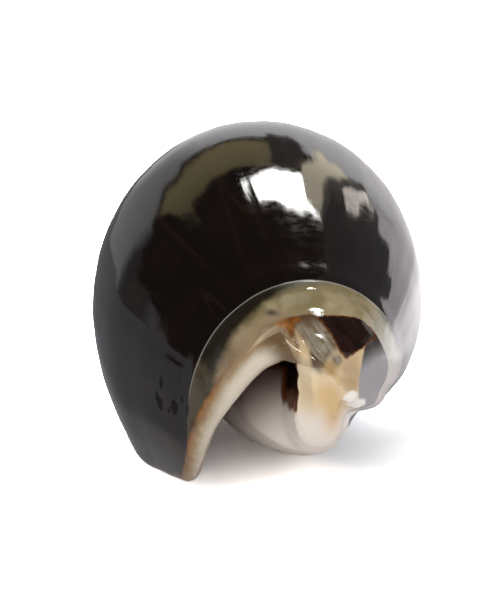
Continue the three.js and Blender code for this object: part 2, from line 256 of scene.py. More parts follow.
def hollow_end(station, turn):
    """Point of the rounded inner end of the hollow."""
    depth = hollow_depth(station)
    low, high = outer_point(station, -360 - depth), inner_point(station, -depth)
    gap = np.linalg.norm(high - low, axis=-1, keepdims=True)
    angle = np.radians(LIP_ANGLE - depth)
    back = np.stack([np.sin(angle), np.zeros_like(angle), -np.cos(angle)], -1)
    turn = np.asarray(turn)[..., None]
    return low + (high - low) * (1 - np.cos(turn)) / 2 + back * np.sin(turn) * gap / 3


# %% One closed loop at each station
TURN_STEPS, HOLLOW_STEPS, EDGE_STEPS, LOOPS = 200, 64, 12, 214
OUTSIDE, COLUMELLA, HOLLOW_END, INSIDE, EDGE = range(5)


def spread_stations(count):
    """Stations from the tip to the suture, closer together on the folds, the notch and the raised line."""
    t = np.linspace(0, SUTURE, 4001)
    density = 1 + 2.2 * np.exp(-((t - 2.2) / 1.6) ** 2)
    density += 5 * smooth(3.78, 3.86, t) * (1 - smooth(4.4, 4.5, t))
    density += 6 * np.exp(-((t - NOTCH_ROOT) / 0.12) ** 2)
    total = np.concatenate([[0], np.cumsum((density[1:] + density[:-1]) / 2)])
    return np.interp(np.linspace(0, total[-1], count), total, t)


def loops_of_points(stations):
    """Points, stations, growth angles and sides of all loops, one row for each station."""
    k = stations[:, None]
    edge, depth = edge_angle(k), hollow_depth(k)
    turn = np.linspace(0, 1, TURN_STEPS + 1)[None]
    inner = np.linspace(0, 1, HOLLOW_STEPS + 1)[None]
    bend = np.linspace(0, math.pi, EDGE_STEPS + 1)[None, 1:-1]
    parts = []
    phi = edge + (-360 - edge) * turn
    full = k + 0 * phi
    parts.append((outer_point(full, phi), full, phi, OUTSIDE))
    phi = -360 - depth * inner[:, 1:]
    full = k + 0 * phi
    parts.append((outer_point(full, phi), full, phi, COLUMELLA))
    full = k + 0 * bend
    parts.append((hollow_end(full, bend + 0 * full), full, -depth + 0 * full, HOLLOW_END))
    phi = -depth + (inner_edge_angle(k) + depth) * inner
    full = k + 0 * phi
    parts.append((inner_point(full, phi), full, phi, INSIDE))
    full = k + 0 * bend
    parts.append((lip_edge(full, bend + 0 * full), full, edge + 0 * full, EDGE))
    points = np.concatenate([p[0] for p in parts], 1)
    station = np.concatenate([p[1] for p in parts], 1)
    phi = np.concatenate([p[2] for p in parts], 1)
    side = np.concatenate([np.full(p[1].shape, p[3]) for p in parts], 1)
    return points, station, phi, side


stations = spread_stations(LOOPS)
points, station, phi, side = loops_of_points(stations)
points[0] = outer_point(np.zeros(points.shape[1]), phi[0])
print("loops:", points.shape[:2])

# %% [markdown]
# ## The spire and the joined mesh
# Behind the last shoulder only a narrow strip of each older whorl shows. It winds to the apex with the
# floor of its channel on the whorl before, so the strips are laid turn by turn and their edges fall on
# each other. Equal corners are then joined into one closed skin.

# %% Quads of the last whorl and of the spire
def quads_of_loops(rows, columns):
    """Four corners of each face between closed loops."""
    row, column = np.meshgrid(np.arange(rows - 1), np.arange(columns), indexing="ij")
    nxt = (column + 1) % columns
    return np.stack([row * columns + column, row * columns + nxt,
                     (row + 1) * columns + nxt, (row + 1) * columns + column], -1).reshape(-1, 4)


STRIP_STEPS = 4
SPIRE_STRIPS = (CHANNEL - SUTURE) * STRIP_STEPS
APEX_DROP = 0.35


def spire_grid():
    """Points, stations and growth angles of the strip that winds to the apex."""
    steps = SPIRE_TURNS * TURN_STEPS
    phi = -360 * np.arange(steps + 1)[:, None] / TURN_STEPS
    k = SUTURE + np.arange(SPIRE_STRIPS + 1)[None] / STRIP_STEPS
    k, phi = k + 0 * phi, phi + 0 * k
    grid = outer_point(k, phi)
    grid[:, -1] = outer_point(np.full(steps + 1, float(SUTURE)), phi[:, 0] - 360)
    apex = np.array([0, LENGTH - APEX_DROP, 0])
    grid[steps - TURN_STEPS + 1:, -1] = apex
    return grid, k, phi


spire, spire_k, spire_phi = spire_grid()
row, column = np.meshgrid(np.arange(spire.shape[0] - 1), np.arange(SPIRE_STRIPS), indexing="ij")
width = SPIRE_STRIPS + 1
offset = points[..., 0].size
corner = row * width + column
spire_quads = offset + np.stack([corner, corner + width, corner + width + 1, corner + 1], -1).reshape(-1, 4)
all_points = np.concatenate([points.reshape(-1, 3), spire.reshape(-1, 3)])
all_station = np.concatenate([station.ravel(), spire_k.ravel()])
all_phi = np.concatenate([phi.ravel(), spire_phi.ravel()])
all_side = np.concatenate([side.ravel(), np.full(spire_k.size, OUTSIDE)])
quads = np.concatenate([quads_of_loops(*points.shape[:2]), spire_quads])

# The lip's back end and the smallest whorl's end are each closed with a fan of triangles.
last_loop = (points.shape[0] - 1) * points.shape[1]
lip_end = [last_loop + points.shape[1] - EDGE_STEPS + 1 + i for i in range(EDGE_STEPS - 1)]
rim = [offset + i for i in range(SPIRE_STRIPS)]
lip_ring = lip_end + rim
last_row = offset + (spire.shape[0] - 1) * width
small_ring = [last_row + i for i in range(SPIRE_STRIPS)][::-1]
fans = [(offset + SPIRE_STRIPS, a, b, b) for a, b in zip(lip_ring, lip_ring[1:])]
fans += [(last_row + SPIRE_STRIPS, a, b, b) for a, b in zip(small_ring, small_ring[1:])]
quads = np.concatenate([quads, np.array(fans)])


# %% Join equal corners and leave out the faces that close up
JOIN_STEPS_A_MM = 500


def joined(all_points, quads):
    """Faces over equal corners joined, with the first point of each place and each face's corners."""
    keys = np.round(all_points * JOIN_STEPS_A_MM).astype(np.int64)
    _, first, same = np.unique(keys, axis=0, return_index=True, return_inverse=True)
    same = same.ravel()
    faces, corners = [], []
    for quad in quads.tolist():
        ring = []
        for corner in quad:
            if not ring or same[corner] != same[ring[-1]]:
                ring.append(corner)
        if len(ring) > 1 and same[ring[0]] == same[ring[-1]]:
            ring.pop()
        if len({int(same[c]) for c in ring}) >= 3:
            faces.append([int(same[c]) for c in ring])
            corners.extend(ring)
    return first, faces, np.array(corners)


first, faces, corners = joined(all_points, quads)
joined_points = all_points[first]
print("joined:", len(joined_points), "points,", len(faces), "faces")

# %% [markdown]
# ## Small relief
# A few small things stand on the shell: the thin raised line that the edge of the mantle left round
# the front, the low bead beside it, the white drops of callus on the columella, and the slow
# unevenness of growth that makes the edges of reflections waver. They are heights along the skin's
# normal, so the mesh itself is moved. A bump in the finish would leave the outline smooth.

# %% Heights of the line, the callus and the growth waves
LINE_HEIGHT, LINE_WIDTH = 0.05, 0.026
LINE_BACK, LINE_BOW, LINE_TOP, LINE_SPREAD, LINE_LAST = 0.07, 0.42, -125, 85, 6.4
LINE_FADE_RIGHT, LINE_FADE_LEFT = (-215, -190), (-36, -28)
LINE_GAP, LINE_GAP_SPREAD, LINE_GAP_SHARE = -87, 9, 0.9
BEAD_HEIGHT, BEAD_STATION, BEAD_WIDTH = 0.05, 3.5, 0.13
BEAD_FADE_RIGHT, BEAD_FADE_LEFT = (-190, -160), (-110, -80)
WAVE_HEIGHT, WAVES_A_TURN, FINE_WAVES_A_TURN, FINE_WAVE_SHARE = 0.012, 17, 41, 0.6
WAVES_FROM, WAVES_TO, WAVE_BEND = (4.3, 5.5), (11, 12), 1.3
KNOB = [((-0.25, 2.62, 4.52), 0.07, 0.27)]
CALLUS = [
    ((1.62, 0.54, -0.85), 0.24, 0.34), ((2.05, 1.33, -1.41), 0.22, 0.4), ((2.04, 3.2, -2.42), 0.12, 0.4),
    ((1.67, 3.0, -2.87), 0.14, 0.35), ((1.85, 4.4, -3.61), 0.12, 0.45),
]


def line_station(phi):
    """Station of the raised line, which bows towards the back on both sides of the notch."""
    bowed = LINE - LINE_BACK + LINE_BOW * ((phi - LINE_TOP) / LINE_SPREAD) ** 2
    return np.minimum(bowed, LINE_LAST)


def lumps(places, drops):
    """Height of soft round lumps, each one given by its place, its height and its spread."""
    total = 0
    for at, height, spread in drops:
        total = total + height * np.exp(-((places - np.array(at)) ** 2).sum(-1) / spread ** 2)
    return total


def relief(places, station, phi, on_outside):
    """Height of all that stands on the shell, in millimetres."""
    line = np.exp(-((station - line_station(phi)) / LINE_WIDTH) ** 2)
    line *= smooth(*LINE_FADE_RIGHT, phi) * (1 - smooth(*LINE_FADE_LEFT, phi))
    line *= 1 - LINE_GAP_SHARE * np.exp(-((phi - LINE_GAP) / LINE_GAP_SPREAD) ** 2)
    turned_by = np.radians(phi)
    waves = np.sin(turned_by * WAVES_A_TURN + WAVE_BEND * np.sin(station))
    waves += FINE_WAVE_SHARE * np.sin(turned_by * FINE_WAVES_A_TURN + station)
    waves *= smooth(*WAVES_FROM, station) * (1 - smooth(*WAVES_TO, station))
    bead = np.exp(-((station - BEAD_STATION) / BEAD_WIDTH) ** 2)
    bead *= smooth(*BEAD_FADE_RIGHT, phi) * (1 - smooth(*BEAD_FADE_LEFT, phi))
    on_coat = LINE_HEIGHT * line + BEAD_HEIGHT * bead + WAVE_HEIGHT * waves
    return on_coat * on_outside + lumps(places, CALLUS + KNOB)


print("heights, mm: line", LINE_HEIGHT, "bead", BEAD_HEIGHT, "waves", WAVE_HEIGHT)

# %% [markdown]
# ## The shell at rest
# An olive shell can't stand. It rolls about its long axis until the lip and the belly both touch the
# table, so the points are turned by that small angle and set down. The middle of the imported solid's
# box is over the origin, and the fine shell takes the same place.

# %% Lay the shell down and make the mesh
turn = math.radians(REST_ROLL)


def laid(places):
    """Places in the shell's own frame, turned about the coiling axis as the shell comes to rest."""
    x, y, z = places.T
    to_right = x * math.cos(turn) + z * math.sin(turn)
    upwards = z * math.cos(turn) - x * math.sin(turn)
    return np.stack([to_right, y, upwards], -1)


turned = laid(joined_points)
low, high = turned.min(0), turned.max(0)
centre = np.array([(low[0] + high[0]) / 2, (low[1] + high[1]) / 2, low[2]])
mesh = bpy.data.meshes.new("olive_shell")
mesh.from_pydata(((turned - centre) * MM).tolist(), [], faces)
normals = np.empty(len(joined_points) * 3, np.float32)
mesh.vertex_normals.foreach_get("vector", normals)
heights = relief(joined_points, all_station[first], all_phi[first], all_side[first] == OUTSIDE)
turned = turned + heights[:, None] * normals.reshape(-1, 3)
mesh.vertices.foreach_set("co", ((turned - centre) * MM).astype(np.float32).ravel())
mesh.update()
mesh.validate(clean_customdata=False)
mesh.polygons.foreach_set("use_smooth", [True] * len(mesh.polygons))
shell = bpy.data.objects.new("olive_shell", mesh)
bpy.context.scene.collection.objects.link(shell)
print("shell, mm:", (high - low).round(2), "triangles:", sum(len(f) - 2 for f in faces))

# %% [markdown]
# ## Masks
# On the real shell every colour keeps to a place: the dark coat to the body whorl, cream and olive to
# the band inside the raised line, pale cream to the lip's edge, peach to the columella. So each
# place is worked out from the same growth rule and stored on the mesh as a number, mostly in
# millimetres from a border. The finish then draws the border itself, with noise, as crisp as it
# likes. Painting by hand would not follow the coil.

# %% Measures on the sheet
from mathutils.kdtree import KDTree

EDGE_SAMPLES = 1500
NOWHERE, EVERYWHERE = -4.0, 4.0
BORDER_STATION, BORDER_SHIFT, BORDER_BEND = 2.78, 0.42, (-185, -140)
LINE_STATION_MM, BORDER_STATION_MM, RIM_PAST_BORDER = 2.2, 2.0, -0.3

edge_stations = np.linspace(NOTCH_ROOT, SUTURE, EDGE_SAMPLES)
edge_line = lip_edge(edge_stations, np.full(EDGE_SAMPLES, math.pi / 2))
tree = KDTree(len(edge_line))
for number, place in enumerate(edge_line):
    tree.insert(place, number)
tree.balance()
x, y, z = all_points.T
k, phi = all_station, all_phi
radius = np.hypot(x, z)
outside, columella, inside = (all_side == OUTSIDE), (all_side == COLUMELLA), (all_side == INSIDE)
hidden = columella | inside | (all_side == HOLLOW_END)
outer_face = outside | columella
rim_root = ~outer_face & (k < NOTCH_ROOT)


def border_station(phi):
    """Station of the border between the columella's end and the band inside the raised line."""
    return BORDER_STATION + BORDER_SHIFT * (1 - smooth(*BORDER_BEND, phi))


past_line = (k - line_station(phi)) * LINE_STATION_MM
past_border = (k - border_station(phi)) * BORDER_STATION_MM
masks = {"station": k, "growth": phi}
masks["from_edge"] = np.array([tree.find(place)[2] for place in all_points])
masks["past_line"] = np.where(outer_face, past_line, NOWHERE)
masks["past_border"] = np.where(outer_face, past_border, np.where(rim_root, RIM_PAST_BORDER, EVERYWHERE))
print("from the edge, mm:", masks["from_edge"].min().round(2), "to", masks["from_edge"].max().round(1))

# %% [markdown]
# ### Borders seen from the front
# The chestnut patch, the grey crescent and the dark throat have clear borders in the picture. The
# grey crescent is painted reflection: it is grey where the columella's end turns away to the right
# and mirrors the pale room. The patch is a corner between two straight lines, the crescent lies
# right of a shallow curve, and the throat starts at a growth angle that steps back with the station.
# Each mask is the distance past those borders.

# %% Borders of the chestnut patch, the painted grey reflection and the dark throat, in millimetres
TIP_LAST_STATION = 3.6
PATCH_TOP, PATCH_LEAN, PATCH_LEAN_LENGTH = (-0.01, 3.54), (2.22, 1.4), 2.62
PATCH_FOOT, PATCH_FOOT_SLOPE, PATCH_FOOT_SCALE, PATCH_MARGIN = 0.69, 0.453, 0.91, 0.05
CRESCENT_LEFT, CRESCENT_BEND, CRESCENT_MIDDLE, CRESCENT_FOOT = 2.12, 0.057, -0.9, -2.6
THROAT_START, THROAT_RADIUS, THROAT_FRONT, THROAT_COILED = -349, 2.0, 2.64, -340
THROAT_STEPS = [(3, 3.6, 4.2), (37, 4.3, 5.1), (70, 5.1, 6.3)]

on_tip = (outer_face & (k < TIP_LAST_STATION)) | rim_root
right_of_top, above_top = x - PATCH_TOP[0], z - PATCH_TOP[1]
left_of_patch = (PATCH_LEAN[0] * right_of_top + PATCH_LEAN[1] * above_top) / PATCH_LEAN_LENGTH
below_patch = (z - PATCH_FOOT - PATCH_FOOT_SLOPE * x) * PATCH_FOOT_SCALE
patch = np.minimum(np.minimum(left_of_patch, below_patch), -masks["past_border"] - PATCH_MARGIN)
masks["chestnut"] = np.where(on_tip, patch, NOWHERE)
masks["diagonal"] = left_of_patch
# The grey crescent right of this curve is painted reflection of the pale room.
left_of_crescent = x - CRESCENT_LEFT - CRESCENT_BEND * (z - CRESCENT_MIDDLE) ** 2
crescent = np.minimum(left_of_crescent, -masks["past_border"])
masks["crescent"] = np.where(on_tip & (z > CRESCENT_FOOT), crescent, NOWHERE)
throat_start = THROAT_START - sum(back * smooth(low, high, k) for back, low, high in THROAT_STEPS)
throat = np.radians(throat_start - phi) * THROAT_RADIUS
throat = np.minimum(throat, (k - THROAT_FRONT) * BORDER_STATION_MM)
masks["throat"] = np.where(hidden | (phi < THROAT_COILED), throat, NOWHERE)
for name in ("chestnut", "crescent", "throat"):
    print(name, "points:", int((masks[name] > 0).sum()))

# %% [markdown]
# ### Soft places
# The other colours run into each other, as stains in enamel do. Each one is a sum of soft round spots,
# given by strength, place and spread in millimetres in the shell's own frame. More precise outlines
# would look painted on.

# %% Soft spots of colour
SOFT_PLACES = {
    "rust": [(0.8, (-1.85, 1.5, 3.1), (0.5, 0.9, 0.22)), (0.8, (-1.3, 1.4, 3.35), (0.5, 1.2, 0.16)),
             (0.8, (-1.5, 1.3, 2.7), (0.26, 1.2, 0.5)), (0.6, (-1.2, 0.8, 2.0), (0.18, 1.2, 0.6))],
    "smoke": [(1, (-0.35, 1.2, 2.9), (0.75, 1.5, 0.8)), (1, (0.5, 1.0, 2.4), (0.6, 1.5, 0.8)),
              (1, (-1.0, 1.4, 3.3), (0.6, 1.2, 0.3)), (0.8, (0.95, 0.3, 1.2), (0.3, 1, 0.3)),
              (1, (-0.1, 0.4, 1.4), (0.42, 1, 0.7))],
    "mustard": [(1, (0.5, 0.2, 0.85), (0.6, 1.2, 0.42))],
    "root": [(1, (-2.0, 1.3, 2.8), (0.75, 1.5, 0.5)), (0.55, (-2.75, 1.4, 2.35), (0.45, 1.5, 0.45))],
    "smudge": [(1, (-2.5, 2.0, 3.62), (0.5, 1, 0.16)), (0.75, (-5.1, 2.3, 1.2), (0.8, 1, 0.7)),
               (0.7, (-5.7, 2.6, -0.6), (0.5, 1, 0.7))],
    "peach": [(1, (0.2, 0.3, -0.45), (1.0, 3, 1.0)), (1, (0.85, 1.2, -1.8), (0.6, 3, 1.1))],
    "beige": [(1.3, (1.65, 0.7, 0.35), (0.6, 2, 1.1))],
    # A browner patch low on the left of the lip's base.
    "lip_base_brown": [(1, (-7.4, 8.0, -5.2), (1.4, 3.6, 0.6))],
}
SCARS = [
    ((-7.98, 8.42, -1.75), 0.34), ((-8.22, 9.23, -2.67), 0.3), ((-8.05, 8.74, -3.05), 0.36),
    ((-7.42, 6.69, -2.67), 0.55), ((-6.81, 4.71, -2.45), 0.26), ((-7.1, 6.03, -0.74), 0.24),
    ((-7.7, 7.5, -3.2), 0.22), ((-7.1, 5.6, -2.1), 0.24),
]
CALLUS_COLOR_SPREAD = 1.25


def soft_spot(at, spread):
    """A soft round spot at a place, with its spread given for each direction."""
    return np.exp(-(((all_points - np.array(at)) / np.array(spread)) ** 2).sum(-1))


for name, spots in SOFT_PLACES.items():
    total = sum(strength * soft_spot(at, spread) for strength, at, spread in spots)
    masks[name] = np.clip(total, 0, 1)
for name in ("smoke", "mustard", "beige"):
    masks[name] = masks[name] * on_tip
for name in ("smudge", "lip_base_brown"):
    masks[name] = masks[name] * outside
drops = [(at, 1.0, spread * CALLUS_COLOR_SPREAD) for at, _, spread in CALLUS]
masks["callus"] = np.clip(lumps(all_points, drops), 0, 1)
masks["scars"] = np.clip(lumps(all_points, [(at, 1.0, size) for at, size in SCARS]), 0, 1)
print("soft places:", len(SOFT_PLACES), "scars:", len(SCARS), "callus drops:", len(CALLUS))

# %% [markdown]
# ### Enamel and callus
# The animal lays white callus over the whorl before, from the columella outwards, and paler enamel
# over the notch's right side. The callus's border runs along the belly at a growth angle that draws
# back towards the spire. It is guessed from other olive shells, since the picture hides it.

# %% Where enamel and callus lie, then all masks onto the mesh
CALLUS_START, CALLUS_STEPS = -294, [(32, 6.0, 9.0), (40, 10.5, 11.9)]
RECESS_SHADE_FADE, ENAMEL_FADE, LOW_FADE = (-332, -388), (-200, -250), (-0.9, -2.6)
RIM_FADE, RIM_CLOSE = (-85, -99), (-96, -103)

callus_start = CALLUS_START - sum(back * smooth(low, high, k) for back, low, high in CALLUS_STEPS)
masks["past_callus"] = np.where(outer_face, np.radians(callus_start - phi) * radius, EVERYWHERE)
masks["past_callus"][offset:] = NOWHERE
# Painted shade: the colour darkens deeper into the aperture, behind the columella, and over the wall's
# whole inner face.
masks["deep"] = np.where(inside | (all_side == HOLLOW_END), 1.0, smooth(*RECESS_SHADE_FADE, phi) * outer_face)
masks["enamel"] = smooth(*ENAMEL_FADE, phi) * outer_face
masks["low"] = smooth(*LOW_FADE, z)
on_rim = np.where(inside | (all_side == EDGE), 1.0, 1 - smooth(*RIM_FADE, phi))
masks["on_rim"] = on_rim * (1 - smooth(*RIM_CLOSE, phi))
for name, values in masks.items():
    layer = mesh.attributes.new(name, "FLOAT", "CORNER")
    layer.data.foreach_set("value", values[corners].astype(np.float32))
print("masks:", ", ".join(masks))

# %% [markdown]
# ## A kit for shader graphs
# The finish and the studio's surroundings are both sums of soft shapes. A few helpers keep each of
# them readable: they add a node, feed it and hand back its output. Nodes wired by hand in the editor
# give the same graph, but nobody can read it as text afterwards.

# %% Helpers for node trees
def linear(red, green, blue):
    """The shader's colour for a colour as it is seen, from 0 to 255."""
    return tuple(((c / 255 + 0.055) / 1.055) ** 2.4 for c in (red, green, blue)) + (1.0,)


class Graph:
    """A node tree with short calls for the nodes that the finish and the room are made of."""

    def __init__(self, tree):
        self.tree = tree

    def node(self, kind, feeds, **settings):
        """A new node with its settings, fed by other nodes' outputs or by plain values."""
        made = self.tree.nodes.new(kind)
        for name, value in settings.items():
            setattr(made, name, value)
        for name, value in feeds.items():
            if isinstance(value, bpy.types.NodeSocket):
                self.tree.links.new(value, made.inputs[name])
            else:
                made.inputs[name].default_value = value
        return made

    def field(self, name):
        """A mask that is stored on the mesh."""
        return self.node("ShaderNodeAttribute", {}, attribute_name=name).outputs["Fac"]

    def math(self, operation, a, b=0.0):
        return self.node("ShaderNodeMath", {0: a, 1: b}, operation=operation).outputs[0]

    def plus(self, a, b):
        return self.math("ADD", a, b)

    def minus(self, a, b):
        return self.math("SUBTRACT", a, b)

    def product(self, *values):
        total = values[0]
        for value in values[1:]:
            total = self.math("MULTIPLY", total, value)
        return total

    def ramp(self, value, low, high, start=0.0, end=1.0):
        """A soft step from start to end while the value goes from low to high."""
        feeds = {"Value": value, "From Min": low, "From Max": high, "To Min": start, "To Max": end}
        return self.node("ShaderNodeMapRange", feeds, interpolation_type="SMOOTHSTEP").outputs["Result"]

    def noise(self, vector, scale, detail=3.0, rough=0.5):
        feeds = {"Vector": vector, "Scale": scale, "Detail": detail, "Roughness": rough}
        return self.node("ShaderNodeTexNoise", feeds).outputs["Fac"]

    def vector(self, a, b, c=0.0):
        return self.node("ShaderNodeCombineXYZ", {"X": a, "Y": b, "Z": c}).outputs[0]

    def mix(self, share, under, over):
        """One colour over another, as far as the share goes."""
        return self.node("ShaderNodeMix", {0: share, 6: under, 7: over}, data_type="RGBA").outputs[2]

    def layered(self, base, *layers):
        """Colours laid over a base in turn, each one given as its share and its colour."""
        for share, over in layers:
            base = self.mix(share, base, over)
        return base


# %% [markdown]
# ## The finish
# A real olive shell is glazed: a dark coat under clear enamel, with growth lines that can hardly be
# felt. The colours are laid over each other from the dark coat up to the white callus, each one
# through its mask and with its border broken by noise. The gloss is the shader's own, with a low
# roughness that varies, and the growth lines are a bump of a few thousandths of a millimetre.

# %% Coordinates and noises of the finish
LINES_A_DEGREE, LINES_A_STATION, BROAD_SCALE = 0.2, 0.35, 0.22
GRAIN_SCALE, CLOUD_SCALE, RAGGED_SCALE = 1800.0, 420.0, 1100.0

finish = bpy.data.materials.new("shell_finish")
finish.use_nodes = True
paint = Graph(finish.node_tree)
skin = finish.node_tree.nodes["Principled BSDF"]
place = paint.node("ShaderNodeTexCoord", {}).outputs["Object"]
growth_field, station_field = paint.field("growth"), paint.field("station")
across_lines = paint.product(growth_field, LINES_A_DEGREE)
along_lines = paint.vector(across_lines, paint.product(station_field, LINES_A_STATION))
growth_lines = paint.noise(along_lines, 1.0, 3.0, 0.5)
broad_lines = paint.noise(along_lines, BROAD_SCALE, 2.0, 0.5)
grain = paint.noise(place, GRAIN_SCALE, 3.0, 0.6)
cloud = paint.noise(place, CLOUD_SCALE, 3.0, 0.55)
ragged = paint.minus(paint.noise(place, RAGGED_SCALE, 4.0, 0.65), 0.5)
cloudy, thin_cloud = paint.ramp(cloud, 0.35, 0.65), paint.ramp(cloud, 0.3, 0.6)


def shaken(value, shake):
    """A measure shaken by the ragged noise, so that its border isn't drawn with a ruler."""
    return paint.plus(value, paint.product(ragged, shake))


def bordered(name, shake, low, high):
    """Share of a stored mask, with a ragged border between two of its values."""
    return paint.ramp(shaken(paint.field(name), shake), low, high)


print("noises of the finish:", len(paint.tree.nodes), "nodes")

# %% [markdown]
# ### The dark coat
# The body whorl is nearly black, and only its broad growth lines are a little warmer. Thin brown arcs
# cross it, brown clouds lie under the glaze, and the lip's base has small dark scars and is browner in
# a patch low on its left. The spire is paler, with its channel in cream. Noise along the growth lines
# gives this, because everything on a shell is laid down line by line.

# %% The dark coat of the body
COAT_COLD, COAT_WARM, COAT_CLOUD = linear(12, 9, 9), linear(26, 19, 16), linear(38, 21, 17)
ARC_COLOR, SCAR_COLOR, LIP_BASE_BROWN = linear(70, 44, 28), linear(22, 9, 7), linear(48, 28, 16)
SPIRE_DARK, SPIRE_LIGHT, CHANNEL_COLOR = linear(30, 20, 16), linear(74, 44, 26), linear(150, 118, 84)
ARC_SCALE, ARC_WIDTH, ARC_SHARE = 0.05, 0.008, 0.14
CLOUD_SHARE, LIP_BASE_SHARE, SCAR_SHAKE = 0.4, 0.8, 2.0
SHOULDER, CHANNEL_START = (11.9, 12.4), (15.6, 16.6)

arc_places = paint.vector(paint.product(growth_field, ARC_SCALE), paint.product(station_field, ARC_SCALE))
arcs = paint.math("ABSOLUTE", paint.minus(paint.noise(arc_places, 1.0, 1.0), 0.5))
scar_field = paint.field("scars")
scars = paint.plus(scar_field, paint.product(ragged, SCAR_SHAKE, paint.ramp(scar_field, 0.02, 0.2)))
scars = paint.ramp(scars, 0.38, 0.46)
color = paint.layered(
    paint.mix(broad_lines, COAT_COLD, COAT_WARM),
    (paint.product(paint.ramp(arcs, ARC_WIDTH, 0.0), ARC_SHARE), ARC_COLOR),
    (paint.product(paint.ramp(cloud, 0.5, 0.75), CLOUD_SHARE), COAT_CLOUD),
    (scars, SCAR_COLOR),
    (paint.product(bordered("lip_base_brown", 0.8, 0.3, 0.6), LIP_BASE_SHARE), LIP_BASE_BROWN),
    (paint.product(paint.ramp(station_field, *SHOULDER), thin_cloud),
     paint.mix(growth_lines, SPIRE_DARK, SPIRE_LIGHT)),
    (paint.ramp(station_field, *CHANNEL_START), CHANNEL_COLOR),
)
print("with the dark coat:", len(paint.tree.nodes), "nodes")

# %% [markdown]
# ### The band inside the raised line
# Round the front, between the raised line and the edge, the coat is missing. The band is olive on the
# left, grey and nearly white on the right, and darkens towards the line. Its colours change with the
# growth angle, so they follow the band round the notch, which no flat pattern would do.

# %% The band inside the raised line
BAND_OLIVE, BAND_SAND = linear(130, 116, 82), linear(170, 155, 122)
BAND_EDGE, BAND_RIGHT, BAND_ENAMEL = linear(150, 128, 100), linear(206, 202, 192), linear(214, 202, 196)
SHADE_DARK, SHADE_GREY, SHADE_OLIVE = linear(18, 15, 14), linear(104, 102, 94), linear(74, 66, 50)
SMUDGE_COLOR, LINE_TINT_AND_HIGHLIGHT = linear(62, 56, 48), linear(190, 186, 178)
TO_EDGE, TO_RIGHT, TO_GREY, TO_OLIVE = (2.6, 1.2), (-172.0, -205.0), (-106.0, -132.0), (-66.0, -48.0)
DARK_LEFT, DARK_RIGHT, DARK_STATIONS, DARK_DEPTH = -80.0, -170.0, (3.2, 3.86), 0.42
DARK_SHARE, LINE_SHARE = 0.95, 0.45

from_edge, past_line_field = paint.field("from_edge"), paint.field("past_line")
dark_start = paint.ramp(growth_field, DARK_LEFT, DARK_RIGHT, *DARK_STATIONS)
near_line = paint.ramp(shaken(paint.minus(station_field, dark_start), 0.35), 0.0, DARK_DEPTH)
shade = paint.layered(
    SHADE_DARK,
    (paint.ramp(growth_field, *TO_GREY), SHADE_GREY),
    (paint.product(paint.ramp(growth_field, *TO_OLIVE), paint.ramp(cloud, 0.35, 0.6)), SHADE_OLIVE),
)
band = paint.layered(
    paint.mix(cloudy, BAND_OLIVE, BAND_SAND),
    (paint.ramp(from_edge, *TO_EDGE), BAND_EDGE),
    (paint.ramp(growth_field, *TO_RIGHT), BAND_RIGHT),
    (paint.product(near_line, DARK_SHARE), shade),
    (paint.field("enamel"), BAND_ENAMEL),
    (paint.product(paint.field("smudge"), thin_cloud), SMUDGE_COLOR),
)
# The raised line is painted pale: partly its own paler colour, partly a painted highlight standing in for
# the glint along its crest.
line_tint_and_highlight = paint.product(
    paint.ramp(paint.math("ABSOLUTE", past_line_field), 0.07, 0.01),
    paint.ramp(growth_field, -28.0, -36.0), paint.ramp(growth_field, -225.0, -195.0), LINE_SHARE,
)
color = paint.layered(color, (paint.ramp(past_line_field, 0.02, -0.03), band), (line_tint_and_highlight, LINE_TINT_AND_HIGHLIGHT))
print("with the band:", len(paint.tree.nodes), "nodes")

# %% [markdown]
# ### The columella's end
# The twisted end of the columella is cream, with peach and beige stains. On its right lies a grey
# crescent, painted reflection of the pale room where the surface turns away, with a chestnut patch and
# its rusty fringe above it, and smoky streaks come down beside the patch. The streaks are noise that is
# stretched along the patch's slanting border.

# %% The columella's end: cream, peach, beige, the painted grey reflection and the chestnut patch
TIP_CREAM, TIP_PALE = linear(206, 180, 140), linear(218, 196, 160)
ENAMEL_CREAM, ENAMEL_PALE = linear(238, 220, 188), linear(242, 230, 217)
PEACH, BEIGE, MUSTARD = linear(222, 188, 136), linear(190, 162, 124), linear(170, 138, 86)
GREY_REFLECTION_DARK, GREY_REFLECTION_LIGHT = linear(146, 142, 144), linear(168, 165, 168)
GREY_REFLECTION_NEAR_PATCH = linear(64, 59, 57)
SMOKE_BROWN, SMOKE_GREY, SMOKE_EDGE = linear(82, 60, 42), linear(150, 143, 126), linear(66, 38, 22)
PATCH_DARK, PATCH_LIGHT, PATCH_FRINGE = linear(26, 16, 13), linear(44, 25, 20), linear(96, 52, 22)
STREAKS_A_MM, STREAK_CLOUD, PATCH_SHAKE = 1.7, 2.6, 0.5
SMOKE_SHARE, MUSTARD_SHARE = 0.92, 0.85

past_border_field = paint.field("past_border")
across_streaks = paint.product(paint.field("diagonal"), STREAKS_A_MM)
streaks = paint.noise(paint.vector(across_streaks, paint.product(cloud, STREAK_CLOUD)), 1.0, 3.0, 0.6)
